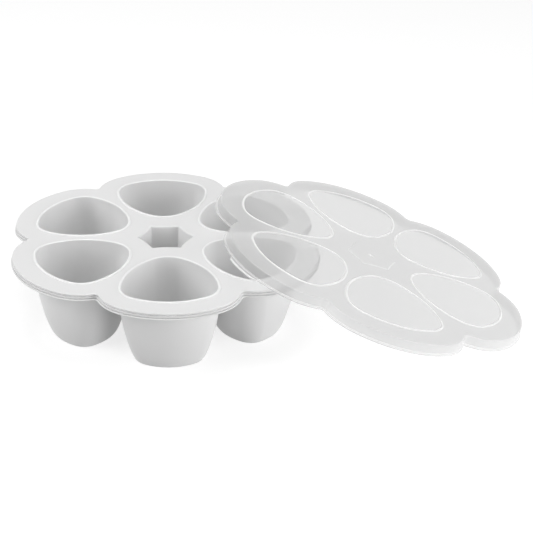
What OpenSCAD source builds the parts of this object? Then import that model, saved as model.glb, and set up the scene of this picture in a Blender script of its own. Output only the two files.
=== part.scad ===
// Baby food freezer tray: a soft tray of six cups round a centre well,
// with a clear snap lid that leans on the tray's rim.
// Millimetres, +Z up. The origin lies on the table, in the middle of the box
// round the tray and the leaning lid.

/* [Cup mouth] */
// Distance from the tray's centre to each cup's reference point
cup_reach = 71.5; // [70:0.5:80]
// How far the two outer corner circles sit inside the reference point
corner_in = 3.1; // [2:0.1:4]
// Sideways distance of each outer corner circle from the cup's middle line
corner_side = 14.6; // [13:0.1:15]
// Radius of the two outer corners
corner_r = 14.1; // [13:0.1:14.5]
// How far the inner corner circle sits inside the reference point
apex_in = 26.2; // [24:0.1:27]
// Radius of the inner corner, next to the tray's centre
apex_r = 15.8; // [14:0.1:16]
// Radius of the long outer side
tip_r = 44; // [40:0.5:60]
// Radius of the two long flanks
side_r = 44.3; // [42:0.1:60]

/* [Cup body] */
// Height of the tray, from the table to the top of its deck
tray_h = 49.2; // [40:0.1:60]
// Thickness of a cup's side wall
cup_wall = 1.7; // [1.2:0.1:2.2]
// Thickness of a cup's floor
cup_floor = 2; // [1.5:0.1:3]
// Share of its width that a cup loses to the draw of its side
side_draw = 0.21; // [0.1:0.01:0.25]
// Bow of the side: 1 is a straight cone, more is fuller near the mouth
side_bow = 1.64; // [1.2:0.02:2]
// Share of its width that a cup loses where it rounds under to its base
foot_tuck = 0.117; // [0.05:0.001:0.15]
// How far inside the reference point the centre of the draw lies
draw_in = 12.9; // [10:0.1:16]
// Height of the bead round each mouth
bead_h = 0.6; // [0.3:0.1:1]

/* [Deck and rim] */
// Thickness of the deck that joins the cups
deck_t = 2.8; // [2:0.1:3.5]
// Distance from a cup's mouth out to the deck's edge
deck_edge = 14.3; // [13:0.1:15]
// Depth of the rim below the top of the deck
rim_h = 4; // [3.8:0.1:5]
// How far the lip at the bottom of the rim stands out past the deck's edge
rim_lip = 0.9; // [0.5:0.1:1]
// Width of the thick band under the deck's edge
rim_band = 3.5; // [2.5:0.1:5]
// Radius of the notch between two petals of the deck
deck_notch = 3; // [2:0.1:5]

/* [Centre well] */
// Radius of the well's six corners
well_r = 17.4; // [15:0.1:18]
// How far each side of the well bows in towards its centre
well_sag = 0.8; // [0.4:0.1:1.5]
// Depth of the well
well_depth = 24; // [12:1:40]
// Thickness of the well's wall
well_wall = 1.6; // [1.2:0.1:2]
// Thickness of the well's floor
well_floor = 2; // [1.5:0.1:3]
// How much smaller the well's corner radius is at its floor
well_draw = 1.2; // [0.5:0.1:2]

/* [Lid] */
// Width of the lid's outline and cells, as a multiple of the tray's
lid_spread = 1.03; // [1.02:0.005:1.04]
// Distance from a cell's outline out to the lid's top edge, before the spread
lid_edge = 15.6; // [15:0.1:18]
// Thickness of the lid's panel
lid_t = 1; // [0.8:0.1:1.4]
// Thickness of the lid's skirt
skirt_t = 1.1; // [0.9:0.1:1.3]
// Depth of the skirt below the top of the lid
skirt_h = 7.1; // [5.5:0.1:8]
// How far the skirt leans out from top to bottom
skirt_flare = 0.6; // [0.5:0.1:1]
// How far the lip at the bottom of the skirt stands out
skirt_lip = 1; // [0.8:0.1:1.5]
// Height of the lip at the bottom of the skirt
skirt_lip_h = 1.3; // [1:0.1:1.6]
// Radius of the notch between two petals of the lid's top edge
lid_notch = 4.2; // [3.4:0.1:6]
// Distance from a cell's outline out to the middle of its ridge, before the spread
ridge_out = 1.3; // [1:0.1:3]
// Width of the ridge at its foot
ridge_w = 1.8; // [1.2:0.1:2.2]
// Height of the ridge above the lid's top
ridge_h = 0.5; // [0.3:0.1:0.8]
// Corner radius of the raised hub in the middle of the lid
hub_r = 17; // [14:0.1:18]
// Height of the hub above the lid's top
hub_h = 0.4; // [0.3:0.1:0.6]
// Length of the pull tab
tab_len = 26; // [18:1:30]
// How far the pull tab stands out past the skirt's lip
tab_out = 3; // [2:0.1:5]
// Thickness of the pull tab
tab_t = 1.2; // [1:0.1:1.3]

/* [Leaning lid] */
// Slope of the lid, which rests on the tray's rim and on the table
lid_tilt = 18.3; // [15:0.05:20]
// Compass direction in which the lid slopes down
lid_tilt_dir = 0.5; // [-5:0.1:5]
// Turn of the lid about its own axis
lid_spin = 2.5; // [-5:0.1:5]
// Distance of the lid's centre from the tray's centre, to the right
lid_x = 130.8; // [130.8:0.1:140]
// Distance of the lid's centre from the tray's centre, to the back
lid_y = -11.4; // [-20:0.1:10]

/* [Fineness] */
// Segments in each long arc of an outline
arc_steps = 5; // [4:1:8]
// Rings down each side of a cup's wall
cup_rings = 9; // [6:1:12]

/* [Hidden] */
petals = 6;
petal_step = 360 / petals;
first_petal = petal_step / 2;
// How far a cutting shape runs past what it cuts
over = 1;
tray_tone = [0.86, 0.86, 0.86];
lid_tone = [0.93, 0.93, 0.94, 0.75];

// Centres of the arcs of a cup's mouth. The side circle passes round the
// inner corner and the outer corner, so its centre is found from the two.
corner_c = [-corner_in, corner_side];
apex_c = [-apex_in, 0];
tip_c = [-corner_in - sqrt(pow(tip_r - corner_r, 2) - pow(corner_side, 2)), 0];
chord = corner_c - apex_c;
chord_len = norm(chord);
along = (pow(side_r - apex_r, 2) - pow(side_r - corner_r, 2) + pow(chord_len, 2)) / (2 * chord_len);
across = sqrt(pow(side_r - apex_r, 2) - pow(along, 2));
side_c = apex_c + chord / chord_len * along + [chord[1], -chord[0]] / chord_len * across;

// Directions in which one arc of the mouth hands over to the next
tip_end = heading(corner_c - tip_c);
corner_end = heading(corner_c - side_c);
side_end = heading(apex_c - side_c);

// Steps of the layered rim: depth of each layer's bottom, and how far its
// edge stands out from the deck's edge
rim_layers = [[0.4, -0.3], [1, 0], [1.4, -0.35], [2.8, 0.15], [3.1, -0.2], [rim_h, rim_lip]];

// Section of a bead: distance out from the mouth, and height over the deck
bead_section = [[0, 0], [0.2, 0.7 * bead_h], [cup_wall / 2, bead_h], [cup_wall - 0.2, 0.7 * bead_h]];

// Section of the skirt, round from the top of its outer face
lip_slope = 0.3;
lip_top = skirt_lip_h - skirt_h - lip_slope;
skirt_section = [
    [0, -lid_t],
    [skirt_flare, skirt_lip_h - skirt_h],
    [skirt_flare + skirt_lip, lip_top],
    [skirt_flare + skirt_lip, -skirt_h],
    [skirt_flare - skirt_t, -skirt_h],
    [-skirt_t, -lid_t]
];
lip_edge = lid_edge + skirt_flare + skirt_lip;

// Section of the ridge: height of each layer's top, and its share of the ridge's width
ridge_layers = [[0.6 * ridge_h, 1], [ridge_h, 0.6]];

// Small round mark in the middle of the hub, left by moulding
gate_r = 0.9;
gate_h = hub_h + 0.3;

// How far the pull tab runs in under the skirt's lip before it is trimmed
tab_root = 10;

// Segments in each side of the well
well_steps = 4;

// Where the lid lies: low enough that its lip just touches the table
tilt_axis = [-sin(lid_tilt_dir), cos(lid_tilt_dir), 0];
lip_line = sloped_line(lip_edge, -skirt_h);
lid_z = -min([for (p = lip_line) p[2]]);

// Middle of the box round the tray and the lid
rim_line = flower(deck_edge + rim_lip, deck_notch);
lid_lines = concat(lip_line, sloped_line(lip_edge, lip_top), sloped_line(lid_edge, 0));
box_x = concat([for (p = rim_line) p[0]], [for (p = lid_lines) p[0] + lid_x]);
box_y = concat([for (p = rim_line) p[1]], [for (p = lid_lines) p[1] + lid_y]);
mid_x = (min(box_x) + max(box_x)) / 2;
mid_y = (min(box_y) + max(box_y)) / 2;

// Direction of a vector, from 0 to 360 degrees
function heading(v) = (atan2(v[1], v[0]) + 360) % 360;

// Points of an arc, without its last one
function arc(c, r, a0, a1, n) =
    [for (i = [0 : n - 1]) c + r * [cos(a0 + (a1 - a0) * i / n), sin(a0 + (a1 - a0) * i / n)]];

function mirrored(pts) = [for (i = [len(pts) - 1 : -1 : 0]) [pts[i][0], -pts[i][1]]];

function turned(pts, a) =
    [for (p = pts) [cos(a) * p[0] - sin(a) * p[1], sin(a) * p[0] + cos(a) * p[1]]];

// One half of a cup's mouth, moved out by off, in the cup's own frame:
// +X points away from the tray's centre
function half_mouth(off) = concat(
    arc(tip_c, tip_r + off, 0, tip_end, arc_steps - 2),
    arc(corner_c, corner_r + off, tip_end, corner_end, arc_steps),
    arc(side_c, side_r + off, corner_end, side_end, arc_steps),
    arc(apex_c, apex_r + off, side_end, 180, arc_steps - 1));

function mouth(off) = let (half = half_mouth(off)) concat(
    half,
    [[apex_c[0] - apex_r - off, 0]],
    mirrored([for (i = [1 : len(half) - 1]) half[i]]));

// Outline of six petals, moved out by off, with a notch of the given radius
// between one petal and the next
function flower(off, notch) = [for (k = [0 : petals - 1])
    each turned(petal_edge(off, notch), first_petal + k * petal_step)];

function petal_edge(off, notch) =
    let (
        corner_here = corner_c + [cup_reach, 0],
        ray = turned([corner_here], -petal_step / 2)[0],
        gap = corner_r + off + notch,
        notch_c = turned([[ray[0] + sqrt(gap * gap - ray[1] * ray[1]), 0]], petal_step / 2)[0],
        meet = heading(notch_c - corner_here),
        corner_pts = arc(corner_here, corner_r + off, tip_end, meet, arc_steps),
        tip_pts = arc(tip_c + [cup_reach, 0], tip_r + off, 0, tip_end, arc_steps - 1),
        half = concat(tip_pts, corner_pts),
        notch_pts = arc(notch_c, notch, meet + 180, petal_step - meet - 180 + 360, arc_steps - 1)
    )
    concat(mirrored([for (i = [1 : len(half) - 1]) half[i]]), half, notch_pts);

// Outline of the lid, moved out by off; its notch gets tighter as the edge moves out
function lid_line(off) = lid_spread * flower(off, lid_notch - (off - lid_edge));

// A point of the lid turned to its slope
function lid_turn(p) = turn_about(tilt_axis, lid_tilt, concat(turned([[p[0], p[1]]], lid_spin)[0], [p[2]]));

function turn_about(v, a, p) = p * cos(a) + cross(v, p) * sin(a) + v * (v * p) * (1 - cos(a));

// Outline of the lid moved out by off, at height z of the lid, turned to the lid's slope
function sloped_line(off, z) = [for (p = lid_line(off)) lid_turn([p[0], p[1], z])];

// Scale of a cup's outline at a share q of the way down its side
function side_scale(q) = 1 - side_draw * pow(q, side_bow) - foot_tuck * (1 - sqrt(1 - q * q));

// A cup's outline at a share q of the way down, and the height it lies at
function cup_ring(off, q, low) =
    let (c = [-draw_in, 0], s = side_scale(q), z = -deck_t - (low - deck_t) * q)
    [for (p = mouth(off)) let (m = c + (p - c) * s) [m[0], m[1], z]];

function level_ring(pts, z) = [for (p = pts) [p[0], p[1], z]];

// Rings of a cup, from its inner floor up over the bead and down to its base
function cup_shell() = concat(
    [for (i = [cup_rings : -1 : 0]) cup_ring(0, sin(90 * i / cup_rings), tray_h - cup_floor)],
    [for (s = bead_section) level_ring(mouth(s[0]), s[1])],
    [level_ring(mouth(cup_wall), 0)],
    [for (i = [0 : cup_rings]) cup_ring(cup_wall, sin(90 * i / cup_rings), tray_h)]);

// Outline of the well with its corners at radius r
function well_outline(r) =
    let (
        half = r / 2,
        bow = (half * half + well_sag * well_sag) / (2 * well_sag),
        bow_c = r * cos(30) - well_sag + bow,
        swing = asin(half / bow)
    )
    [for (k = [0 : petals - 1])
        each turned(
            arc([bow_c, 0], bow, 180 + swing, 180 - swing, well_steps),
            first_petal + k * petal_step)];

function well_shell() = [
    level_ring(well_outline(well_r - well_draw), -well_depth),
    level_ring(well_outline(well_r), 0),
    level_ring(well_outline(well_r + well_wall), 0),
    level_ring(well_outline(well_r + well_wall), -deck_t),
    level_ring(well_outline(well_r + well_wall - well_draw), -well_depth - well_floor)
];

// Closed solid through a list of rings, capped at its first and last ring
module shell(rings) {
    n = len(rings[0]);
    last = len(rings) - 1;
    pts = concat([for (r = rings) each r], [centre(rings[0]), centre(rings[last])]);
    hub_a = n * (last + 1);
    hub_b = hub_a + 1;
    faces = concat(
        [for (r = [0 : last - 1], i = [0 : n - 1]) [r * n + i, r * n + (i + 1) % n, (r + 1) * n + i]],
        [for (r = [0 : last - 1], i = [0 : n - 1])
            [(r + 1) * n + i, r * n + (i + 1) % n, (r + 1) * n + (i + 1) % n]],
        [for (i = [0 : n - 1]) [hub_a, (i + 1) % n, i]],
        [for (i = [0 : n - 1]) [hub_b, last * n + i, last * n + (i + 1) % n]]);
    polyhedron(points = pts, faces = faces, convexity = 6);
}

// Closed band whose section is carried round a flower outline
module band(rings) {
    n = len(rings[0]);
    m = len(rings);
    pts = [for (r = rings) each r];
    faces = concat(
        [for (r = [0 : m - 1], i = [0 : n - 1]) let (q = (r + 1) % m)
            [r * n + i, r * n + (i + 1) % n, q * n + i]],
        [for (r = [0 : m - 1], i = [0 : n - 1]) let (q = (r + 1) % m)
            [q * n + i, r * n + (i + 1) % n, q * n + (i + 1) % n]]);
    polyhedron(points = pts, faces = faces, convexity = 8);
}

function centre(ring) = [for (axis = [0 : 2]) mean([for (p = ring) p[axis]])];

function mean(values) = values * [for (v = values) 1] / len(values);

// Puts a piece of the tray in place: z = 0 is the top of the deck
module on_tray() {
    translate([-mid_x, -mid_y, tray_h]) children();
}

// Puts a piece of the lid in place: z = 0 is the top of the lid
module on_lid() {
    translate([lid_x - mid_x, lid_y - mid_y, lid_z])
        rotate(a = lid_tilt, v = tilt_axis)
            rotate([0, 0, lid_spin]) children();
}

// Outlines of the six mouths, moved out by off; on the lid they lie spread out
module mouths(off, spread = 1) {
    for (k = [0 : petals - 1])
        rotate([0, 0, first_petal + k * petal_step])
            translate([spread * cup_reach, 0, 0]) polygon(spread * mouth(off));
}

module layer(low, high) {
    translate([0, 0, low]) linear_extrude(height = high - low) children();
}

// Deck with its stepped rim, pierced for the six cups and the well
module tray_deck() {
    color(tray_tone) on_tray() difference() {
        for (i = [0 : len(rim_layers) - 1]) {
            top = i == 0 ? 0 : -rim_layers[i - 1][0];
            layer(-rim_layers[i][0], top) polygon(flower(deck_edge + rim_layers[i][1], deck_notch));
        }
        layer(-rim_h - over, over) {
            mouths(cup_wall);
            polygon(well_outline(well_r + well_wall));
        }
        layer(-rim_h - over, -deck_t) polygon(flower(deck_edge - rim_band, deck_notch + rim_band));
    }
}

// Cup number n, counted anticlockwise from the one at the right and back
module cup(n) {
    color(tray_tone) on_tray()
        rotate([0, 0, first_petal + (n - 1) * petal_step]) translate([cup_reach, 0, 0]) shell(cup_shell());
}

module cup_1() { cup(1); }
module cup_2() { cup(2); }
module cup_3() { cup(3); }
module cup_4() { cup(4); }
module cup_5() { cup(5); }
module cup_6() { cup(6); }

// Six-sided well in the middle of the tray
module centre_well() {
    color(tray_tone) on_tray() shell(well_shell());
}

// Flat top of the lid, with a ridge round each of its six cells, a raised hub and its moulding dot
module lid_panel() {
    color(lid_tone) on_lid() {
        layer(-lid_t, 0) polygon(lid_line(lid_edge));
        for (l = ridge_layers) layer(-lid_t / 2, l[0]) difference() {
            mouths(ridge_out + l[1] * ridge_w / 2, lid_spread);
            mouths(ridge_out - l[1] * ridge_w / 2, lid_spread);
        }
        layer(-lid_t / 2, hub_h) polygon(well_outline(hub_r));
        cylinder(r = gate_r, h = gate_h, $fn = 24);
    }
}

// Skirt of the lid, with a lip at its bottom edge
module lid_skirt() {
    color(lid_tone) on_lid() band([for (s = skirt_section) level_ring(lid_line(lid_edge + s[0]), s[1])]);
}

// Pull tab at the bottom of the skirt, on the petal that lies over the tray's front left
module lid_tab() {
    bow_c = lid_spread * (cup_reach + tip_c[0]);
    bow_r = lid_spread * (tip_r + lip_edge);
    color(lid_tone) on_lid() rotate([0, 0, -180 + first_petal]) difference() {
        layer(-skirt_h, -skirt_h + tab_t) intersection() {
            translate([bow_c + bow_r - tab_root, -tab_len / 2]) square([tab_root + tab_out, tab_len]);
            translate([bow_c, 0]) circle(r = bow_r + tab_out, $fn = 96);
        }
        layer(-skirt_h - over, over)
            rotate([0, 0, 180 - first_petal]) polygon(lid_line(lip_edge));
    }
}

tray_deck();
cup_1();
cup_2();
cup_3();
cup_4();
cup_5();
cup_6();
centre_well();
lid_panel();
lid_skirt();
lid_tab();
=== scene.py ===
"""Looks of a baby food freezer tray and its lid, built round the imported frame.

The tray is one soft silicone moulding: a deck like a flower of six petals, six deep cups and a small
well in the middle. The lid is a frosted, translucent shell that leans on the tray's rim. Plans are in
millimetres and turn into metres where a mesh is made. A petal's own frame has +X pointing away from
the middle of the tray or lid, and z = 0 on top of the deck or lid.
"""

import logging
import math
from dataclasses import dataclass
from enum import Enum

import bmesh
import bpy
import numpy as np
from mathutils import Matrix, Vector


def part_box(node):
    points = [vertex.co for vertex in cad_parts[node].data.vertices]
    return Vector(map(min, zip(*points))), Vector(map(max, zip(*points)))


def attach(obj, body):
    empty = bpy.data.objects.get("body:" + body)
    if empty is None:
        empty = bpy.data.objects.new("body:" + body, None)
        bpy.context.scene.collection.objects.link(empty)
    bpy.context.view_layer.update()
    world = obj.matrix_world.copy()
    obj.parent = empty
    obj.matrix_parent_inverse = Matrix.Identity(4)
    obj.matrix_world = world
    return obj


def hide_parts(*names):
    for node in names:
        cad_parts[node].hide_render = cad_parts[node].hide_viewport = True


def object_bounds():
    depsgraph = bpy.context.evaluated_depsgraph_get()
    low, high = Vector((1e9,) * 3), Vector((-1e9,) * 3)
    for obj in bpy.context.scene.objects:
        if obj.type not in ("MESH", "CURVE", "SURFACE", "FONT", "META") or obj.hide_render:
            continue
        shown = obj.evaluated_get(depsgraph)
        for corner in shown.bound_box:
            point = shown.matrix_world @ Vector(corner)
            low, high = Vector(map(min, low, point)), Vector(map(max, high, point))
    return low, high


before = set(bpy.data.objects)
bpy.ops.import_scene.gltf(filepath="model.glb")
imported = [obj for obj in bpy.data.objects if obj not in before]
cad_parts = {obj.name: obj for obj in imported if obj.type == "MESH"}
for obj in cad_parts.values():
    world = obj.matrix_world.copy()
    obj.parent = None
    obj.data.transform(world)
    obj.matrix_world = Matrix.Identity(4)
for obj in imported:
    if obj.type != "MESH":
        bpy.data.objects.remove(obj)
cad_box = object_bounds()

MM = 0.001
PETALS = 6
PETAL_TURN = 360 / PETALS
HALF_TURN = PETAL_TURN / 2
TURNS = tuple(HALF_TURN + k * PETAL_TURN for k in range(PETALS))
WELD = 1e-6
SHARP_ANGLE = math.radians(40)
# Name of the point mark for painted light: it mixes in a lighter colour as painted highlights and painted
# light, and makes a translucent surface hide more.
PAINTED_LIGHT = "painted_light"
FROST = "frost"

Array = np.ndarray
Marks = float | Array
Object = bpy.types.Object
Tree = bpy.types.NodeTree
Socket = bpy.types.NodeSocket
Values = tuple[float, ...]
Labels = tuple[str, ...]

log = logging.getLogger("freezer_tray")


class Slot(Enum):
    """The record's material slots."""

    SILICONE = "silicone"
    LID_PLASTIC = "lid_plastic"


class Body(Enum):
    """The bodies of the frame that pieces ride on."""

    TRAY = "tray"
    LID = "lid"


# ---- plans


def heading(vector: Array) -> float:
    """Direction of a plan vector, from 0 to 360 degrees."""
    return math.degrees(math.atan2(vector[1], vector[0])) % 360


def arc(centre: Array, radius: float, start: float, end: float, steps: int) -> Array:
    """Points of an arc without its last one.

    Point i stands at the angle start + (end - start) * i / steps.

    Args:
        centre: middle of the arc.
        radius: radius of the arc.
        start: first angle, in degrees.
        end: angle that the arc stops short of, in degrees.
        steps: number of points.

    Returns:
        An array of steps rows of x and y.
    """
    angle = np.radians(start + (end - start) * np.arange(steps) / steps)
    return centre + radius * np.column_stack((np.cos(angle), np.sin(angle)))


def turned(points: Array, degrees: float) -> Array:
    """Points turned about the upright axis; any third coordinate is kept.

    Args:
        points: rows of x and y, or of x, y and z.
        degrees: angle of the turn, anticlockwise from above.

    Returns:
        The turned points, in an array of the same shape.
    """
    c = math.cos(math.radians(degrees))
    s = math.sin(math.radians(degrees))
    out = points.copy()
    out[..., 0] = c * points[..., 0] - s * points[..., 1]
    out[..., 1] = s * points[..., 0] + c * points[..., 1]
    return out


def mirrored_loop(half: Array) -> Array:
    """Closed loop from one half and its mirror image across the X axis, whose end points lie on that axis."""
    return np.vstack((half, half[-2:0:-1] * (1, -1)))


def at_height(loops: Array | list[Array], z: Marks) -> Array:
    """Plan loops as points: one loop at a height, or rows of loops with a height each.

    Args:
        loops: one loop, or rows of loops with as many points each.
        z: the height, or one for each row.

    Returns:
        An array of points with a third coordinate.
    """
    loops = np.asarray(loops)
    heights = np.reshape(z, (-1,) + (1,) * (loops.ndim - 2))
    return np.concatenate((loops, np.broadcast_to(heights, loops.shape[:-1])[..., None]), axis=-1)


def smoothstep(t: Array) -> Array:
    """Eased ramp 3 t^2 - 2 t^3 of a share t, held at 0 and 1 outside it."""
    t = np.clip(t, 0, 1)
    return t * t * (3 - 2 * t)


def rounded(corners: Array, radii: Array, steps: int) -> Array:
    """Profile with each inner corner rounded by a curve.

    Round each corner runs the parabola (1 - t)^2 a + 2 t (1 - t) c + t^2 b, where c is the corner and a and b
    lie the corner's radius back and forward along its two sides.

    Args:
        corners: the profile's corners, as rows of two coordinates.
        radii: how far the rounding of each corner reaches along its sides.
        steps: segments in each rounding.

    Returns:
        The profile's points.
    """
    t = np.linspace(0, 1, steps + 1)[:, None]
    back = corners[:-2] - corners[1:-1]
    forward = corners[2:] - corners[1:-1]
    back /= np.linalg.norm(back, axis=1)[:, None]
    forward /= np.linalg.norm(forward, axis=1)[:, None]
    a = corners[1:-1] + back * radii[:, None]
    b = corners[1:-1] + forward * radii[:, None]
    curves = (1 - t) ** 2 * a[:, None] + 2 * t * (1 - t) * corners[1:-1, None] + t**2 * b[:, None]
    return np.vstack((corners[:1], curves.reshape(-1, 2), corners[-1:]))


@dataclass(frozen=True)
class PetalPlan:
    """Plan of one petal: a cup's mouth, and the lines that run at a distance outside it.

    The mouth's tip reaches furthest from the middle of the tray. Its two outer corners, its inner corner (the
    apex) and a point that sees all of it lie the given distances inside that reach. The values that end in _r
    are the radii of its arcs, and those that end in _steps count the points on them.
    """

    reach: float = 71.5
    corner_in: float = 3.1
    corner_side: float = 14.6
    corner_r: float = 14.1
    apex_in: float = 26.2
    apex_r: float = 15.8
    tip_r: float = 44.0
    side_r: float = 44.3
    middle_in: float = 12.9
    tip_steps: int = 10
    corner_steps: int = 18
    notch_steps: int = 8
    side_steps: int = 28
    apex_steps: int = 16

    @property
    def corner(self) -> Array:
        """Centre of the outer corner's arc."""
        return np.array((self.reach - self.corner_in, self.corner_side))

    @property
    def apex(self) -> Array:
        """Centre of the inner corner's arc."""
        return np.array((self.reach - self.apex_in, 0.0))

    @property
    def tip(self) -> Array:
        """Centre of the outer side's arc, which touches both outer corners' arcs."""
        back = math.sqrt((self.tip_r - self.corner_r) ** 2 - self.corner_side**2)
        return np.array((self.reach - self.corner_in - back, 0.0))

    @property
    def side(self) -> Array:
        """Centre of the flank's arc.

        It lies at side_r less apex_r from the apex's centre and at side_r less corner_r from the corner's.

        Returns:
            Its x and y.
        """
        chord = self.corner - self.apex
        length = float(np.linalg.norm(chord))
        near = self.side_r - self.apex_r
        far = self.side_r - self.corner_r
        along = (near**2 - far**2 + length**2) / (2 * length)
        across = math.sqrt(near**2 - along**2)
        return self.apex + chord / length * along + np.array((chord[1], -chord[0])) / length * across

    @property
    def middle(self) -> Array:
        """Point inside the mouth from which all of it can be seen."""
        return np.array((self.reach - self.middle_in, 0.0))

    def outer(self, out: float, end: float) -> Array:
        """Tip and outer corner of the mouth, moved out.

        Args:
            out: how far the line runs outside the mouth.
            end: direction from the corner's centre that the line stops short of, in degrees.

        Returns:
            The points of its two arcs.
        """
        tip_end = heading(self.corner - self.tip)
        return np.vstack((
            arc(self.tip, self.tip_r + out, 0, tip_end, self.tip_steps),
            arc(self.corner, self.corner_r + out, tip_end, end, self.corner_steps),
        ))

    def half_mouth(self, out: float) -> Array:
        """Half of the mouth, moved out, from its tip round to its apex: four arcs that touch.

        Args:
            out: how far the line runs outside the mouth.

        Returns:
            The points of the half, with both of its ends.
        """
        corner_end = heading(self.corner - self.side)
        side_end = heading(self.apex - self.side)
        return np.vstack((
            self.outer(out, corner_end),
            arc(self.side, self.side_r + out, corner_end, side_end, self.side_steps),
            arc(self.apex, self.apex_r + out, side_end, 180, self.apex_steps),
            self.apex - (self.apex_r + out, 0),
        ))

    def mouth(self, out: float) -> Array:
        """The whole mouth as a closed loop, moved out by a distance."""
        return mirrored_loop(self.half_mouth(out))

    def half_edge(self, out: float, notch: float) -> Array:
        """Half of a petal's edge, from its tip to the bottom of the notch next to it.

        The notch is an arc that touches the corner's arc, with its centre on the line between two petals.

        Args:
            out: distance of the edge outside the mouth.
            notch: radius of the notch.

        Returns:
            The points of the half, with both of its ends.
        """
        seen = turned(self.corner, -HALF_TURN)
        gap = self.corner_r + out + notch
        centre = turned(np.array((seen[0] + math.sqrt(gap**2 - seen[1] ** 2), 0.0)), HALF_TURN)
        meet = heading(centre - self.corner)
        return np.vstack((
            self.outer(out, meet),
            arc(centre, notch, meet + 180, HALF_TURN + 180, self.notch_steps),
            centre - notch * turned(np.array((1.0, 0.0)), HALF_TURN),
        ))

    def flower(self, out: float, notch: float) -> Array:
        """Closed outline of all the petals, from one notch's bottom round to it again.

        Args:
            out: distance of the edge outside the mouths.
            notch: radius of the notches.

        Returns:
            The points of the outline.
        """
        half = self.half_edge(out, notch)
        petal = np.vstack((half[:0:-1] * (1, -1), half[:-1]))
        return np.vstack([turned(petal, turn) for turn in TURNS])

    def border(self, out: float, notch: float, ring: "HexRing") -> Array:
        """Closed line round one petal's share of the deck, with a point for each one of mouth().

        It follows the petal's edge, the line to the next petal inwards, and its side of the middle ring.

        Args:
            out: distance of the edge outside the mouth.
            notch: radius of the notch.
            ring: the ring round the middle.

        Returns:
            The points of the line.
        """
        edge = self.half_edge(out, notch)
        corner = ring.half_side(self.apex_steps)[0]
        steps = self.side_steps - self.notch_steps
        ray = edge[-1] + (corner - edge[-1]) * np.arange(1, steps)[:, None] / steps
        return mirrored_loop(np.vstack((edge, ray, ring.half_side(self.apex_steps))))


@dataclass(frozen=True)
class HexRing:
    """Six-sided ring whose sides bow inwards, with softened corners."""

    radius: float
    sag: float = 0.8
    softness: float = 0.3

    def distance(self, degrees: Array) -> Array:
        """Distance of the ring from its middle at angles from the middle of a side.

        A side stands at (r cos 30 - sag (1 - t^2)) / cos a, with t = tan a / tan 30. The corner blends two
        sides by -w log(exp(-d1 / w) + exp(-d2 / w)), where w is the softness.

        Args:
            degrees: the angles.

        Returns:
            A distance for each angle.
        """
        near = np.abs(degrees)
        both = np.radians(np.stack((near, PETAL_TURN - near)))
        t = np.tan(both) / math.tan(math.radians(HALF_TURN))
        apothem = self.radius * math.cos(math.radians(HALF_TURN))
        d = (apothem - self.sag * (1 - t**2)) / np.cos(both)
        least = d.min(axis=0)
        return least - self.softness * np.log(np.exp((least - d) / self.softness).sum(axis=0))

    def half_side(self, steps: int) -> Array:
        """Half of the side that faces a petal, from its corner to its middle.

        Args:
            steps: segments in the half.

        Returns:
            The points of the half, with both of its ends.
        """
        angle = np.linspace(HALF_TURN, 0, steps + 1)
        reach = self.distance(angle)[:, None]
        return reach * np.column_stack((np.cos(np.radians(angle)), np.sin(np.radians(angle))))

    def loop(self, steps: int) -> Array:
        """The whole ring as a closed loop.

        Args:
            steps: segments in half a side.

        Returns:
            The points of the loop.
        """
        half = self.half_side(steps)
        side = np.vstack((half * (1, -1), half[-2:0:-1]))
        return np.vstack([turned(side, turn) for turn in TURNS])


# ---- meshes


def stand(name: str, data: bpy.types.ID) -> Object:
    """Makes an object and links it to the scene.

    Args:
        name: the object's name.
        data: its mesh, lamp or camera.

    Returns:
        The object.
    """
    made = bpy.data.objects.new(name, data)
    bpy.context.scene.collection.objects.link(made)
    return made


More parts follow.
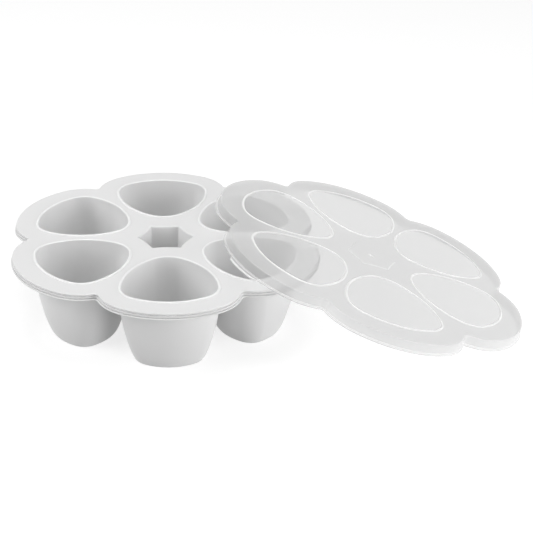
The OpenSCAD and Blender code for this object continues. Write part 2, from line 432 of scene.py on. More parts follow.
class Shell:
    """Gathers grids of points, in millimetres, and joins them into one closed mesh."""

    def __init__(self, name: str) -> None:
        """Starts an empty shell.

        Args:
            name: its piece's name.
        """
        self.name = name
        self._points: list[Array] = []
        self._faces: list[list[int]] = []

    def _add(self, points: Array, *marks: Marks) -> int:
        """Stores points and their two marks.

        Args:
            points: array whose last axis holds x, y and z.
            marks: how much painted light the surface carries and how frosted it is.

        Returns:
            The number of the first point.
        """
        first = sum(map(len, self._points))
        wide = [np.broadcast_to(mark, points.shape[:-1])[..., None] for mark in marks]
        self._points.append(np.concatenate((points, *wide), axis=-1).reshape(-1, 3 + len(marks)))
        return first

    def wrap(self, rows: Array, painted_light: Marks = 0.0, frost: Marks = 0.0) -> None:
        """Adds a surface whose rows are closed loops.

        Face (r, i) joins points i and i + 1 of row r with the same two of row r + 1.

        Args:
            rows: array of rows, points and coordinates.
            painted_light: how much painted light the surface carries, from 0 to 1: a number, or an array that
                spreads over the rows.
            frost: how frosted the surface is, given in the same way.
        """
        count, size = rows.shape[:2]
        first = self._add(rows, painted_light, frost)
        r, i = np.meshgrid(np.arange(count - 1), np.arange(size), indexing="ij")
        j = (i + 1) % size
        quads = np.stack((r * size + i, r * size + j, (r + 1) * size + j, (r + 1) * size + i), axis=-1)
        self._faces.extend((quads.reshape(-1, 4) + first).tolist())

    def cap(self, ring: Array, pole: Array, painted_light: float = 0.0, frost: float = 0.0) -> None:
        """Closes a ring with triangles that meet at a pole.

        Args:
            ring: the ring's points.
            pole: the point where the triangles meet.
            painted_light: how much painted light the surface carries there.
            frost: how frosted the surface is there.
        """
        size = len(ring)
        first = self._add(np.vstack((ring, pole)), painted_light, frost)
        i = np.arange(size)
        fan = np.column_stack((i, (i + 1) % size, np.full(size, size)))
        self._faces.extend((fan + first).tolist())

    def disc(self, ring: Array, pole: Array, shares: Values, frost: float = 0.0) -> None:
        """Fills a flat ring with ever smaller copies of itself round a pole.

        Args:
            ring: the ring's points.
            pole: the point that the copies close in on.
            shares: size of each copy as a share of the ring's.
            frost: how frosted the surface is.
        """
        rows = pole + np.array(shares)[:, None, None] * (ring - pole)
        self.wrap(rows, frost=frost)
        self.cap(rows[-1], pole, frost=frost)

    def piece(self, place: "Place") -> Object:
        """Makes the object, welded and with its faces pointing outwards.

        Args:
            place: where the shell stands.

        Returns:
            The new object, with its place in its mesh.
        """
        mesh = bpy.data.meshes.new(self.name)
        points = np.vstack(self._points)
        mesh.from_pydata(place.settle(points[:, :3]) * MM, [], self._faces)
        for label, marks in zip((PAINTED_LIGHT, FROST), points[:, 3:].T):
            attribute = mesh.attributes.new(label, "FLOAT", "POINT")
            attribute.data.foreach_set("value", marks.astype(np.float32))
        work = bmesh.new()
        work.from_mesh(mesh)
        bmesh.ops.remove_doubles(work, verts=work.verts, dist=WELD)
        bmesh.ops.dissolve_degenerate(work, edges=work.edges, dist=WELD)
        bmesh.ops.recalc_face_normals(work, faces=work.faces)
        open_edges = sum(1 for edge in work.edges if not edge.is_manifold)
        work.to_mesh(mesh)
        work.free()
        mesh.polygons.foreach_set("use_smooth", np.ones(len(mesh.polygons), bool))
        mesh.set_sharp_from_angle(angle=SHARP_ANGLE)
        made = stand(self.name, mesh)
        flats = made.modifiers.new("hold_flats", "WEIGHTED_NORMAL")
        flats.keep_sharp = True
        log.info("%s: %d faces, %d open edges", self.name, len(mesh.polygons), open_edges)
        return made


@dataclass(frozen=True)
class Place:
    """Where a plan's middle stands, and how it is turned and spread."""

    origin: Array
    turn: Array

    def settle(self, points: Array) -> Array:
        """Points of a plan moved to where they stand, in millimetres."""
        return points @ self.turn.T + self.origin


@dataclass(frozen=True)
class Finish:
    """A piece's material slot and material."""

    slot: Slot
    material: bpy.types.Material

    def dress(self, piece: Object, body: Body, *nodes: str) -> Object:
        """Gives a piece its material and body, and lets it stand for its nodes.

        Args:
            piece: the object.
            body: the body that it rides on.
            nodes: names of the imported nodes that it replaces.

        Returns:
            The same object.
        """
        piece.data.materials.append(self.material)
        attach(piece, body.value)
        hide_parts(*nodes)
        return piece


# ---- tray


@dataclass(frozen=True)
class Groove:
    """A groove round the rim, from its top to its bottom below the deck, between two bands of the rim.

    The bands stand out from the deck's edge by their values, and radii rounds the groove's four corners.
    """

    top: float
    bottom: float
    depth: float
    band_over: float
    band_under: float
    radii: tuple[float, float, float, float]
    slope: float = 0.15

    def corners(self) -> tuple[tuple[float, float], ...]:
        """Its four corners, as distance outside the deck's edge and height."""
        return (
            (self.band_over, -self.top), (-self.depth, -self.top - self.slope),
            (-self.depth, self.slope - self.bottom), (self.band_under, -self.bottom),
        )


@dataclass(frozen=True)
class Tray:
    """The silicone tray: deck and rim, six cups and the centre well.

    Values that end in _rows are the shares of a flat face at which it has a row of points.
    """

    plan: PetalPlan
    finish: Finish
    height: float = 49.2
    deck_t: float = 2.8
    deck_edge: float = 14.3
    rim_h: float = 4.0
    upper_groove: Groove = Groove(
        top=0.9, bottom=1.6, depth=0.6, band_over=0.05, band_under=0.15, radii=(0.12, 0.1, 0.1, 0.12),
    )
    lower_groove: Groove = Groove(
        top=2.6, bottom=3.25, depth=0.5, band_over=0.2, band_under=0.9, radii=(0.12, 0.09, 0.09, 0.3),
    )
    rim_band: float = 3.5
    edge_in: float = 0.8
    edge_r: float = 0.4
    lip_r: float = 0.3
    band_r: float = 0.5
    rim_steps: int = 5
    notch: float = 3.0
    cup_wall: float = 1.7
    cup_floor: float = 2.0
    side_draw: float = 0.21
    side_bow: float = 1.64
    foot_tuck: float = 0.117
    bead_h: float = 0.6
    bead_steps: int = 12
    well_r: float = 17.4
    well_depth: float = 24.0
    well_wall: float = 1.6
    well_floor: float = 2.0
    well_draw: float = 1.2
    well_lip: float = 1.3
    well_foot: float = 2.5
    well_seam: float = 0.2
    well_inner_steps: int = 8
    well_outer_steps: int = 6
    side_steps: int = 39
    deck_rows: Values = (0, 0.04, 0.3, 0.7, 0.96, 1)
    floor_rows: Values = (1, 0.85, 0.6, 0.3)
    well_rows: Values = (1, 0.6, 0.25)

    @property
    def place(self) -> Place:
        """The middle of the deck's top, found from the frame.

        Returns:
            The place, with no turn.
        """
        low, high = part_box("tray_deck")
        middle = (low + high) / 2
        return Place(np.array((middle.x, middle.y, high.z)) / MM, np.eye(3))

    def rim_profile(self) -> Array:
        """Section of the rim: two grooves over a lip, which is the band under the lower one.

        Returns:
            Rows of distance outside the deck's edge and of height.
        """
        upper = self.upper_groove
        lower = self.lower_groove
        corners = (
            (-self.edge_in, 0.0), (0.0, 0.0), *upper.corners(), *lower.corners(),
            (lower.band_under, -self.rim_h), (-self.rim_band, -self.rim_h), (-self.rim_band, -self.deck_t),
        )
        radii = (self.edge_r, *upper.radii, *lower.radii, self.lip_r, self.band_r)
        return rounded(np.array(corners), np.array(radii), self.rim_steps)

    def rim_line(self, out: float) -> tuple[float, float]:
        """Distance outside the mouths, and notch radius, of a line out from the deck's edge.

        Inside the edge the notch widens by as much as the line moves in.
        """
        return self.deck_edge + out, self.notch - min(out, 0.0)

    def deck(self) -> Object:
        """Deck with its rim: six petal sectors above and below, joined round the rim, mouths and well.

        Returns:
            The deck's piece.
        """
        shell = Shell("deck")
        ring = HexRing(self.well_r + self.well_wall)
        profile = self.rim_profile()
        rim = [self.plan.flower(*self.rim_line(e)) for e in profile[:, 0]]
        shell.wrap(at_height(rim, profile[:, 1]))
        thickness = np.array((0.0, -self.deck_t))
        mouth = self.plan.mouth(self.cup_wall)
        shares = np.array(self.deck_rows)[:, None, None]
        faces = ((0.0, profile[0][0]), (-self.deck_t, profile[-1][0]))
        for turn in TURNS:
            for z, edge in faces:
                border = self.plan.border(*self.rim_line(edge), ring)
                sector = mouth + shares * (border - mouth)
                shell.wrap(turned(at_height(sector, z), turn))
            shell.wrap(turned(at_height([mouth, mouth], thickness), turn))
        well = ring.loop(self.plan.apex_steps)
        shell.wrap(at_height([well, well], thickness))
        return self.finish.dress(shell.piece(self.place), Body.TRAY, "tray_deck")

    def cup_rows(self, out: float, low: float) -> Array:
        """Rows of a cup's side, from the deck's underside to its foot.

        Row q shrinks the mouth about its middle to 1 - draw q^bow - tuck (1 - sqrt(1 - q^2)) of its size,
        and lies at the share q of the way down.

        Args:
            out: distance of the surface outside the mouth.
            low: depth of the foot below the deck's top.

        Returns:
            Array of rows, points and coordinates.
        """
        q = np.sin(np.linspace(0, math.pi / 2, self.side_steps + 1))
        scale = 1 - self.side_draw * q**self.side_bow - self.foot_tuck * (1 - np.sqrt(1 - q**2))
        mouth = self.plan.mouth(out)
        plan = self.plan.middle + scale[:, None, None] * (mouth - self.plan.middle)
        return at_height(plan, -self.deck_t - (low - self.deck_t) * q)

    def cup(self, number: int) -> Object:
        """One cup: inside, bead and outside as one closed shell.

        The bead is half an oval over the wall, and a painted highlight makes it lighter the higher it stands.

        Args:
            number: the cup's number in the record.

        Returns:
            The cup's piece.
        """
        shell = Shell(f"cup_{number}_shell")
        inside = self.cup_rows(0.0, self.height - self.cup_floor)[::-1]
        outside = self.cup_rows(self.cup_wall, self.height)
        swing = np.linspace(0, math.pi, self.bead_steps + 1)
        crown = self.cup_wall / 2 * (1 - np.cos(swing))
        bead = at_height([self.plan.mouth(e) for e in crown], self.bead_h * np.sin(swing))
        rows = np.concatenate((inside, bead, outside))
        # Painted highlight along the bead's crest.
        marks = np.concatenate((np.zeros(len(inside)), np.sin(swing), np.zeros(len(outside))))
        turn = TURNS[number - 1]
        shell.wrap(turned(rows, turn), marks[:, None])
        for row in (inside[0], outside[-1]):
            pole = np.append(self.plan.middle, row[0, 2])
            shell.disc(turned(row, turn), turned(pole, turn), self.floor_rows)
        return self.finish.dress(shell.piece(self.place), Body.TRAY, f"cup_{number}")

    def well(self) -> Object:
        """Centre well: soft upper edge, drawn sides and a floor with a rounded foot, inside and outside.

        Returns:
            The well's piece.
        """
        shell = Shell("centre_well_shell")
        outer = self.well_r + self.well_wall
        low = self.well_depth + self.well_floor
        inside = (
            (outer, 0.0), (self.well_r, 0.0), (self.well_r - self.well_draw, -self.well_depth),
            (self.well_r / 2, -self.well_depth),
        )
        outside = ((outer, 0.0), (outer, -self.deck_t), (outer - self.well_draw, -low), (outer / 2, -low))
        surfaces = (
            (inside, self.well_lip, self.well_inner_steps), (outside, self.well_seam, self.well_outer_steps),
        )
        for corners, edge_r, steps in surfaces:
            profile = rounded(np.array(corners), np.array((edge_r, self.well_foot)), steps)
            loops = [HexRing(r).loop(self.plan.apex_steps) for r in profile[:, 0]]
            rows = at_height(loops, profile[:, 1])
            shell.wrap(rows)
            shell.disc(rows[-1], np.array((0.0, 0.0, profile[-1][1])), self.well_rows)
        return self.finish.dress(shell.piece(self.place), Body.TRAY, "centre_well")

    def build(self) -> list[Object]:
        """Makes every piece of the tray."""
        return [self.deck(), *(self.cup(n) for n in range(1, PETALS + 1)), self.well()]


# ---- lid


@dataclass(frozen=True)
class Lid:
    """The translucent lid: a panel with ridged cells and a hub, a skirt with a lip, and a pull tab.

    Its plan is the tray's, with every plan value taken before the spread that makes the lid a little wider.
    Values of painted highlights and painted light, and those that end in _frost, are marks from 0 to 1, and
    those that end in _rows are the shares of a face at which it has a row of points.
    """

    plan: PetalPlan
    finish: Finish
    spread: float = 1.03
    edge: float = 15.6
    thickness: float = 1.0
    skirt_t: float = 1.1
    skirt_h: float = 7.1
    skirt_flare: float = 0.6
    skirt_lip: float = 1.0
    skirt_lip_h: float = 1.3
    skirt_start: float = 1.6
    skirt_end: float = 2.4
    skirt_radii: Values = (0.7, 0.35, 0.3, 0.35, 0.3, 0.4)
    skirt_steps: int = 6
    lip_slope: float = 0.3
    lip_fade: float = 0.4
    notch: float = 4.2
    ridge_out: float = 1.3
    ridge_w: float = 2.1
    ridge_h: float = 0.5
    ridge_steps: int = 10
    land_rows: Values = (0, 0.03, 0.3, 0.7, 0.97, 1)
    cell_rows: Values = (1, 0.97, 0.7, 0.35)
    hub_r: float = 16.5
    hub_h: float = 0.4
    hub_slope: float = 0.8
    hub_steps: int = 6
    hub_rows: Values = (0, 0.05, 0.5, 0.9, 1)
    hub_under_rows: Values = (1, 0.6, 0.25)
    gate_r: float = 0.9
    gate_h: float = 0.3
    gate_foot: float = 1.15
    gate_swell: float = 1.3
    gate_rows: Values = (1.4, 1.15, 1.0, 0.9, 0.7, 0.4, 0.15)
    tab_len: float = 25.2
    tab_out: float = 2.9
    tab_t: float = 1.2
    tab_root: float = 0.5
    tab_blunt: float = 5.0
    tab_square: float = 0.4
    tab_dark: float = 0.3125
    tab_bright: float = 0.9375
    tab_steps: int = 32
    tab_sides: int = 24
    tilt: float = 18.3
    tilt_dir: float = 0.5
    spin: float = 2.5
    across: float = 130.8
    back: float = -11.4
    ridge_painted_highlight: float = 0.9
    lip_painted_highlight: float = 0.55
    skirt_painted_light: float = 0.2
    hub_painted_highlight: float = 0.2
    land_painted_light: float = 0.31
    gate_painted_highlight: float = 0.9
    cell_frost: float = 0.57

    @property
    def lip_edge(self) -> float:
        """Distance of the lip outside the cup mouths."""
        return self.edge + self.skirt_flare + self.skirt_lip

    def outline(self, out: float) -> Array:
        """Closed outline at a distance outside the top edge; its notches get tighter as it moves out."""
        return self.plan.flower(self.edge + out, self.notch - out)

    @property
    def place(self) -> Place:
        """Leaning lid: spun about its own axis, tilted, and low enough that its lip touches the table.

        Returns:
            The place, whose turn spreads the plan too.
        """
        down = math.radians(self.tilt_dir)
        lean = Matrix.Rotation(math.radians(self.tilt), 3, Vector((-math.sin(down), math.cos(down), 0)))
        spun = Matrix.Rotation(math.radians(self.spin), 3, "Z")
        turn = np.array(lean @ spun) * (self.spread, self.spread, 1)
        lip = at_height(self.outline(self.lip_edge - self.edge), -self.skirt_h) @ turn.T
        low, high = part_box("tray_deck")
        middle = (low + high) / 2 / MM
        return Place(np.array((middle.x + self.across, middle.y + self.back, -lip[:, 2].min())), turn)

    def skirt_profile(self) -> Array:
        """Section of the skirt, round from the panel's top to its underside: flared, with a rounded lip.

        Returns:
            Rows of distance outside the top edge and of height.
        """
        foot = self.skirt_flare + self.skirt_lip
        lip_top = self.skirt_lip_h - self.skirt_h
        corners = np.array((
            (-self.skirt_start, 0.0), (0.0, 0.0), (self.skirt_flare, lip_top),
            (foot, lip_top - self.lip_slope), (foot, -self.skirt_h),
            (self.skirt_flare - self.skirt_t, -self.skirt_h), (-self.skirt_t, -self.thickness),
            (-self.skirt_end, -self.thickness),
        ))
        return rounded(corners, np.array(self.skirt_radii), self.skirt_steps)

    def shell(self) -> Object:
        """Panel and skirt as one closed shell.

        The panel's painted light and frost fade into the skirt's over the panel's thickness, and a painted
        highlight runs along the lip.

        Returns:
            The shell's piece.
        """
        shell = Shell("lid_shell")
        profile = self.skirt_profile()
        skirt = at_height([self.outline(e) for e in profile[:, 0]], profile[:, 1])
        down = -profile[:, 1]
        # Painted light: the land's fades into the skirt's over the panel's thickness, and a painted highlight
        # runs along the lip.
        lip = smoothstep((down - self.skirt_h + self.skirt_lip_h + self.lip_fade) / self.lip_fade)
        level = smoothstep(1 - down / self.thickness)
        light = self.land_painted_light * level + self.skirt_painted_light * (1 - level)
        light += (self.lip_painted_highlight - self.skirt_painted_light) * lip
        shell.wrap(skirt, light[:, None], level[:, None])
        hub_foot = HexRing(self.hub_r + self.hub_slope / 2)
        for z, out, rise in ((0.0, profile[0][0], self.ridge_h), (-self.thickness, profile[-1][0], 0.0)):
            border = self.plan.border(self.edge + out, self.notch - out, hub_foot)
            self.add_cells(shell, z, border, rise)
        self.add_hub(shell)
        ring = at_height(hub_foot.loop(self.plan.apex_steps), -self.thickness)
        shell.disc(ring, np.array((0.0, 0.0, -self.thickness)), self.hub_under_rows, 1.0)
        return self.finish.dress(shell.piece(self.place), Body.LID, "lid_panel", "lid_skirt")

    def add_cells(self, shell: Shell, z: float, border: Array, rise: float) -> None:
        """Adds one face of the panel: for each petal its land, its ridge and the cell inside it.

        At the share s of its width the ridge stands at sin(pi s)^2 of its height.

        Args:
            shell: the lid's shell.
            z: height of the face.
            border: line round one petal's share of the face.
            rise: height of the ridges above the face.
        """
        share = np.linspace(0, 1, self.ridge_steps + 1)
        crest = np.sin(math.pi * share)
        lines = [self.plan.mouth(self.ridge_out + (s - 0.5) * self.ridge_w) for s in share]
        ridge = at_height(lines, z + rise * crest**2)
        rows = np.array(self.land_rows)[:, None, None]
        land = ridge[-1] + rows * (at_height(border, z) - ridge[-1])
        pole = np.append(self.plan.middle, z)
        # Painted highlight along each ridge's crest, which fades into the land's painted light.
        light = self.ridge_painted_highlight * crest + self.land_painted_light * share**2
        frost = self.cell_frost + (1 - self.cell_frost) * share
        for turn in TURNS:
            shell.wrap(turned(ridge, turn), light[:, None], frost[:, None])
            shell.wrap(turned(land, turn), self.land_painted_light, 1.0)
            shell.disc(turned(ridge[0], turn), turned(pole, turn), self.cell_rows, self.cell_frost)

    def add_hub(self, shell: Shell) -> None:
        """Adds the raised hub: an eased slope, a flat top that turns from six-sided to round, and a dot.

        At the distance r the domed dot stands at smoothstep(swell (1 - r / foot)) of its height.

        Args:
            shell: the lid's shell.
        """
        slope = np.linspace(0.5, -0.5, self.hub_steps + 1)
        rings = [HexRing(self.hub_r + self.hub_slope * s).loop(self.plan.apex_steps) for s in slope]
        sides = at_height(rings, self.hub_h * smoothstep(0.5 - slope))
        # Painted highlight across the hub's slope, over the land's painted light.
        light = self.land_painted_light + self.hub_painted_highlight * (1 - (2 * slope) ** 2)
        shell.wrap(sides, light[:, None], 1.0)
        rim = sides[-1, :, :2]
        angle = np.arctan2(rim[:, 1], rim[:, 0])
        circle = np.column_stack((np.cos(angle), np.sin(angle)))
        radius = self.gate_r * np.array(self.gate_rows)
        top = rim + np.array(self.hub_rows)[:, None, None] * (radius[0] * circle - rim)
        shell.wrap(at_height(top, self.hub_h), self.land_painted_light, 1.0)
        foot = self.gate_r * self.gate_foot
        dome = self.hub_h + self.gate_h * smoothstep(self.gate_swell * (1 - radius / foot))
        rows = at_height(radius[:, None, None] * circle, dome)
        # Painted highlight on the dot.
        shell.wrap(rows, self.gate_painted_highlight, 1.0)
        shell.cap(rows[-1], np.array((0.0, 0.0, dome[-1])), self.gate_painted_highlight, 1.0)

    def tab(self) -> Object:
        """Pull tab: a bar along the lip of the front left petal.

        At the share u of its half length its width is that of the tab times (1 - |u|^blunt)^(1/3). Its
        section is the squared-off oval of radii (|cos a|^square, |sin a|^square), each with its sign. Its
        long edges carry a painted highlight that its middle lacks.

        Returns:
            The tab's piece.
        """
        shell = Shell("lid_pull_tab")
        radius = self.plan.tip_r + self.lip_edge
        swing = math.asin(self.tab_len / 2 / radius)
        u = np.sin(np.linspace(-math.pi / 2, math.pi / 2, self.tab_steps + 1))[1:-1, None]
        a = np.linspace(0, 2 * math.pi, self.tab_sides, endpoint=False)[None, :]
        width = (self.tab_out + self.tab_root) * (1 - np.abs(u) ** self.tab_blunt) ** (1 / 3)
        from_middle = np.sign(np.cos(a)) * np.abs(np.cos(a)) ** self.tab_square
        from_half = np.sign(np.sin(a)) * np.abs(np.sin(a)) ** self.tab_square
        reach = radius - self.tab_root + width / 2 * (1 + from_middle)
        z = self.tab_t / 2 * (1 + from_half) - self.skirt_h
        along = swing * u
        x = self.plan.tip[0] + reach * np.cos(along)
        rows = np.stack((x, reach * np.sin(along), np.broadcast_to(z, x.shape)), axis=2)
        rows = turned(rows, HALF_TURN - 180)
        # Painted highlight along the tab's long edges.
        light = smoothstep((np.abs(from_middle) - self.tab_dark) / (self.tab_bright - self.tab_dark))
        shell.wrap(rows, light, 1.0)
        for row in (rows[0], rows[-1]):
            shell.cap(row, row.mean(axis=0), 1.0, 1.0)
        return self.finish.dress(shell.piece(self.place), Body.LID, "lid_tab")

    def build(self) -> list[Object]:
        """Makes every piece of the lid."""
        return [self.shell(), self.tab()]


# ---- finishes


def new_group(name: str, inputs: dict[str, float], colours: Labels, outputs: Labels) -> Tree:
    """Makes an empty shader node group with named sockets.

    Args:
        name: the group's name.
        inputs: number inputs and their defaults.
        colours: colour inputs.
        outputs: outputs, which are numbers but for one named Colour.

    Returns:
        The group's node tree, with its input and output nodes in place.
    """
    group = bpy.data.node_groups.new(name, "ShaderNodeTree")
    for label, value in inputs.items():
        socket = group.interface.new_socket(label, in_out="INPUT", socket_type="NodeSocketFloat")
        socket.default_value = value
    for label in colours:
        group.interface.new_socket(label, in_out="INPUT", socket_type="NodeSocketColor")
    for label in outputs:
        kind = "NodeSocketColor" if label == "Colour" else "NodeSocketFloat"
        group.interface.new_socket(label, in_out="OUTPUT", socket_type=kind)
    group.nodes.new("NodeGroupInput").name = "in"
    group.nodes.new("NodeGroupOutput").name = "out"
    return group


def add(tree: Tree, kind: str, **settings: object) -> bpy.types.Node:
    """Adds a node and sets its properties.

    Args:
        tree: the tree that the node joins.
        kind: the node's type.
        settings: its properties by name.

    Returns:
        The node.
    """
    node = tree.nodes.new(kind)
    for label, value in settings.items():
        setattr(node, label, value)
    return node


def feed(node: bpy.types.Node, inputs: dict[str | int, object]) -> None:
    """Feeds a node's inputs: a socket is linked, and anything else becomes the input's own value.

    Args:
        node: the node.
        inputs: sockets and values, by the names or numbers of the inputs.
    """
    for label, value in inputs.items():
        if isinstance(value, Socket):
            node.id_data.links.new(value, node.inputs[label])
        else:
            node.inputs[label].default_value = value


def math_node(tree: Tree, operation: str, first: object, second: object) -> Socket:
    """Adds a Math node.

    Args:
        tree: the tree that the node joins.
        operation: what the node does.
        first: first operand, a socket or a number.
        second: second operand, a socket or a number.

    Returns:
        The result's socket.
    """
    node = add(tree, "ShaderNodeMath", operation=operation)
    feed(node, {0: first, 1: second})
    return node.outputs[0]


def moulded_surface_group() -> Tree:
    """Group for a moulded surface: slow clouding, a fine grain and the height of both.

    Clouding is a noise some tens of millimetres across; the grain is one of a fraction of a millimetre.

    Returns:
        The group's node tree.
    """
    inputs = {"Cloud Scale": 20.0, "Grain Scale": 1500.0, "Grain Share": 0.5}
    group = new_group("moulded_surface", inputs, (), ("Cloud", "Height"))
    place = add(group, "ShaderNodeTexCoord")
    sockets = group.nodes["in"].outputs
    noises = []
    for scale, detail in (("Cloud Scale", 3.0), ("Grain Scale", 2.0)):
        noise = add(group, "ShaderNodeTexNoise")
        feed(noise, {"Vector": place.outputs["Object"], "Scale": sockets[scale], "Detail": detail})
        noises.append(noise.outputs["Fac"])
    cloud, grain = noises
    fine = math_node(group, "MULTIPLY", grain, sockets["Grain Share"])
    height = math_node(group, "ADD", fine, cloud)
    feed(group.nodes["out"], {"Cloud": cloud, "Height": height})
    return group


def painted_light_group() -> Tree:
    """Group for a moulding's colour: clouded on its broad faces, lighter where painted light is marked.

    Returns:
        The group's node tree.
    """
    inputs = {"Cloud": 0.5, "Painted Light Share": 0.6}
    # The third colour input is that of the painted highlights and painted light, and the mask output says
    # where they are painted.
    group = new_group("painted_light_colour", inputs, ("Face", "Cloudy Face", "Edge"), ("Colour", "Painted Light Mask"))
    sockets = group.nodes["in"].outputs
    painted_light = add(group, "ShaderNodeAttribute", attribute_name=PAINTED_LIGHT)
    mask = math_node(group, "MULTIPLY", painted_light.outputs["Fac"], sockets["Painted Light Share"])
    colour = sockets["Face"]
    for factor, label in ((sockets["Cloud"], "Cloudy Face"), (mask, "Edge")):
        mix = add(group, "ShaderNodeMix", data_type="RGBA")
        feed(mix, {"Factor": factor, "A": colour, "B": sockets[label]})
        colour = mix.outputs["Result"]
    feed(group.nodes["out"], {"Colour": colour, "Painted Light Mask": mask})
    return group


@dataclass(frozen=True)
class Moulded:
    """A moulded material: silicone, or a translucent plastic where alpha is below one.

    Its colours are those of its faces, of the clouds on them and of its painted highlights and painted light.
    What it hides is alpha, with frost_alpha and the alpha of the painted light added by the marks, and shadow
    is the share of that which a shadow keeps.
    Scales are in noise per metre, and bump is in metres.
    """

    name: str
    face: tuple[float, float, float]
    cloudy: tuple[float, float, float]
    # Colour of the painted highlights and painted light.
    edge: tuple[float, float, float]
    roughness: float
    roughness_swing: float
    cloud_scale: float
    grain_scale: float
    bump: float
    painted_light_share: float
    specular: float = 0.4
    coat: float = 0.0
    coat_roughness: float = 0.12
    alpha: float = 1.0
    frost_alpha: float = 0.0
    painted_light_alpha: float = 0.0
    shadow: float = 1.0

    def build(self, surface: Tree, edges: Tree) -> bpy.types.Material:
        """Makes the material from the two shared groups and one Principled shader.

        Args:
            surface: the moulded surface group.
            edges: the group that mixes painted light into the colour.

        Returns:
            The material.
        """
        material = bpy.data.materials.new(self.name)
        material.use_nodes = True
        tree = material.node_tree
        shader = tree.nodes["Principled BSDF"]
        skin = add(tree, "ShaderNodeGroup", node_tree=surface)
        feed(skin, {"Cloud Scale": self.cloud_scale, "Grain Scale": self.grain_scale})
        tint = add(tree, "ShaderNodeGroup", node_tree=edges)
        feed(tint, {
            "Cloud": skin.outputs["Cloud"], "Painted Light Share": self.painted_light_share, "Face": (*self.face, 1),
            "Cloudy Face": (*self.cloudy, 1), "Edge": (*self.edge, 1),
        })
        swing = math_node(tree, "MULTIPLY", skin.outputs["Cloud"], self.roughness_swing)
        bump = add(tree, "ShaderNodeBump")
        feed(bump, {"Strength": 1.0, "Distance": self.bump, "Height": skin.outputs["Height"]})
        feed(shader, {
            "Base Color": tint.outputs["Colour"], "Normal": bump.outputs["Normal"],
            "Roughness": math_node(tree, "ADD", swing, self.roughness - self.roughness_swing / 2),
            "Specular IOR Level": self.specular, "Coat Weight": self.coat,
            "Coat Roughness": self.coat_roughness,
        })
        if self.alpha < 1:
            feed(shader, {"Alpha": self.cover(tree, tint.outputs["Painted Light Mask"])})
        return material

    def cover(self, tree: Tree, edge: Socket) -> Socket:
        """How much a translucent surface hides: most where frosted or where painted light is, less for the
        light of a shadow.

        A surface seen from inside the plastic hides nothing, so each wall counts once.

        Args:
            tree: the material's node tree.
            edge: the mask of its painted light.

        Returns:
            The socket of the share that is hidden.
        """
        frost = add(tree, "ShaderNodeAttribute", attribute_name=FROST)
        frosted = math_node(tree, "MULTIPLY", frost.outputs["Fac"], self.frost_alpha)
        # Where painted light is, the surface hides more.
        painted_light_cover = math_node(tree, "MULTIPLY", edge, self.painted_light_alpha)
        shown = math_node(tree, "ADD", math_node(tree, "ADD", frosted, self.alpha), painted_light_cover)
        in_shadow = add(tree, "ShaderNodeLightPath").outputs["Is Shadow Ray"]
        passed = math_node(tree, "MULTIPLY", in_shadow, self.shadow - 1)
        lit = math_node(tree, "MULTIPLY", shown, math_node(tree, "ADD", passed, 1.0))
        backfacing = add(tree, "ShaderNodeNewGeometry").outputs["Backfacing"]
        return math_node(tree, "MULTIPLY", lit, math_node(tree, "SUBTRACT", 1.0, backfacing))


# Its edge colour is the painted highlight along each cup's bead.
SILICONE = Moulded(
    name="satin_silicone", face=(0.8, 0.8, 0.8), cloudy=(0.77, 0.77, 0.77), edge=(0.92, 0.92, 0.92),
    roughness=0.46, roughness_swing=0.08,
    cloud_scale=18.0, grain_scale=1400.0, bump=1.2e-5, painted_light_share=0.8,
)
# Its edge colour is the painted highlight and painted light on the lid's ridges, land, skirt, lip, hub, dot
# and tab.
FROSTED = Moulded(
    name="frosted_lid_plastic", face=(0.51, 0.51, 0.51), cloudy=(0.48, 0.48, 0.48), edge=(0.93, 0.93, 0.93),
    roughness=0.3, roughness_swing=0.06, coat=0.1,
    alpha=0.4, frost_alpha=0.255, painted_light_alpha=0.5, shadow=0.12,
    cloud_scale=14.0, grain_scale=1100.0, bump=0.2e-5, painted_light_share=0.9,
)


# ---- studio


@dataclass(frozen=True)
class Softbox:
    """A square area light that faces the object from a distance, in degrees and metres."""

    name: str
    azimuth: float
    elevation: float
    watts: float
    distance: float = 1.4
    size: float = 0.9

    def build(self, target: Vector) -> None:
        """Makes the light, turned towards the target.

        Args:
            target: the point that it faces.
        """
        data = bpy.data.lights.new(self.name, "AREA")
        data.shape = "SQUARE"
        data.size = self.size
        data.energy = self.watts
        lamp = stand(self.name, data)
        a = math.radians(self.azimuth)
        e = math.radians(self.elevation)
        away = Vector((math.sin(a) * math.cos(e), -math.cos(a) * math.cos(e), math.sin(e)))
        lamp.location = target + away * self.distance
        lamp.rotation_euler = (-away).to_track_quat("-Z", "Y").to_euler()


SOFTBOXES = (
    Softbox("overhead", azimuth=180, elevation=83, watts=10.5),
    Softbox("left", azimuth=-80, elevation=28, watts=11.5),
    Softbox("right", azimuth=75, elevation=14, watts=7.4),
    Softbox("front_right", azimuth=38, elevation=15, watts=10.0),
)


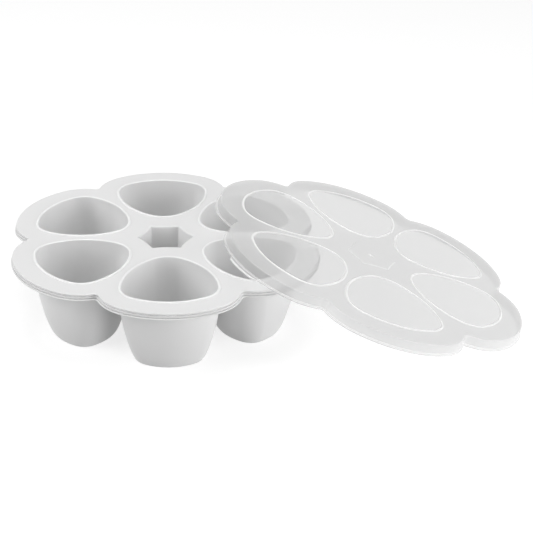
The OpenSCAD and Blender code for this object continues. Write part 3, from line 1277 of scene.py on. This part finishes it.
@dataclass(frozen=True)
class Studio:
    """Plain pale floor, softboxes, white surround and the camera.

    The floor glows by floor_glow to rays that show it and by floor_bounce to those that only carry its light.
    Camera values are in degrees and millimetres.
    """

    tray: Tray
    floor_half: float = 12.0
    floor_paint: float = 0.36
    floor_glow: float = 0.74
    floor_bounce: float = 0.22
    ambient: float = 0.04
    heading: float = 6.39
    pitch: float = 27.35
    roll: float = 1.91
    deck_right: float = -63.92
    deck_down: float = -19.01
    deck_ahead: float = 924.35
    lens: float = 98.45
    sensor: float = 36.0

    def camera(self) -> None:
        """Camera at the photograph's angle.

        It looks along (sin h cos p, cos h cos p, -sin p) for the heading h and pitch p, rolled about that
        line, and stands where the middle of the deck lies right, down and ahead of it by the given distances.
        """
        h = math.radians(self.heading)
        p = math.radians(self.pitch)
        ahead = Vector((math.sin(h) * math.cos(p), math.cos(h) * math.cos(p), -math.sin(p)))
        level = Vector((math.cos(h), -math.sin(h), 0))
        turn = Matrix.Rotation(math.radians(-self.roll), 3, ahead)
        right = turn @ level
        down = ahead.cross(right)
        offset = right * self.deck_right + down * self.deck_down + ahead * self.deck_ahead
        data = bpy.data.cameras.new("camera")
        data.lens = self.lens
        data.sensor_width = self.sensor
        data.sensor_fit = "HORIZONTAL"
        data.clip_start = 0.01
        data.clip_end = 100
        view = stand("camera", data)
        axes = Matrix((right, -down, -ahead)).transposed().to_4x4()
        view.matrix_world = Matrix.Translation((Vector(self.tray.place.origin) - offset) * MM) @ axes
        bpy.context.scene.camera = view

    @staticmethod
    def seen_rays(tree: Tree) -> Socket:
        """One for rays that show the surround itself: camera, glossy and transmission rays.

        Args:
            tree: the node tree that asks.

        Returns:
            The socket of the answer, 0 or 1.
        """
        rays = add(tree, "ShaderNodeLightPath").outputs
        glossy = math_node(tree, "MAXIMUM", rays["Is Camera Ray"], rays["Is Glossy Ray"])
        return math_node(tree, "MAXIMUM", glossy, rays["Is Transmission Ray"])

    def floor(self) -> None:
        """Pale floor that keeps the object's shadow and doesn't hide the object from below."""
        h = self.floor_half
        mesh = bpy.data.meshes.new("floor")
        mesh.from_pydata([(-h, -h, 0), (h, -h, 0), (h, h, 0), (-h, h, 0)], [], [(0, 1, 2, 3)])
        plane = stand("floor", mesh)
        material = bpy.data.materials.new("floor_paint")
        material.use_nodes = True
        tree = material.node_tree
        tree.nodes.remove(tree.nodes["Principled BSDF"])
        paint = add(tree, "ShaderNodeBsdfDiffuse")
        feed(paint, {"Color": (self.floor_paint,) * 3 + (1,)})
        glow = add(tree, "ShaderNodeEmission")
        seen = math_node(tree, "MULTIPLY", self.seen_rays(tree), self.floor_glow - self.floor_bounce)
        feed(glow, {"Strength": math_node(tree, "ADD", seen, self.floor_bounce)})
        both = add(tree, "ShaderNodeAddShader")
        feed(both, {0: paint.outputs[0], 1: glow.outputs[0]})
        backfacing = add(tree, "ShaderNodeNewGeometry").outputs["Backfacing"]
        clear = add(tree, "ShaderNodeBsdfTransparent").outputs[0]
        one_sided = add(tree, "ShaderNodeMixShader")
        feed(one_sided, {0: backfacing, 1: both.outputs[0], 2: clear})
        feed(tree.nodes["Material Output"], {"Surface": one_sided.outputs[0]})
        mesh.materials.append(material)

    def surround(self) -> None:
        """White surround that lights the object only a little."""
        world = bpy.data.worlds.new("surround")
        bpy.context.scene.world = world
        world.use_nodes = True
        tree = world.node_tree
        seen = math_node(tree, "MULTIPLY", self.seen_rays(tree), 1 - self.ambient)
        strength = math_node(tree, "ADD", seen, self.ambient)
        feed(tree.nodes["Background"], {"Color": (1, 1, 1, 1), "Strength": strength})

    def build(self) -> None:
        """Makes the camera, the lights, the floor and the surround."""
        self.camera()
        low, high = cad_box
        target = (low + high) / 2
        for lamp in SOFTBOXES:
            lamp.build(target)
        self.floor()
        self.surround()
        bpy.context.scene.view_settings.view_transform = "Standard"


def main() -> None:
    """Builds the tray, the lid and the studio, and reports each piece."""
    logging.basicConfig(level=logging.INFO, format="%(message)s")
    surface = moulded_surface_group()
    # The group that mixes painted highlights and painted light into a moulding's colour.
    edges = painted_light_group()
    plan = PetalPlan()
    tray = Tray(plan, Finish(Slot.SILICONE, SILICONE.build(surface, edges)))
    lid = Lid(plan, Finish(Slot.LID_PLASTIC, FROSTED.build(surface, edges)))
    Studio(tray).build()
    for piece in (*tray.build(), *lid.build()):
        log.info("built %s", piece.name)


if __name__ == "__main__":
    main()
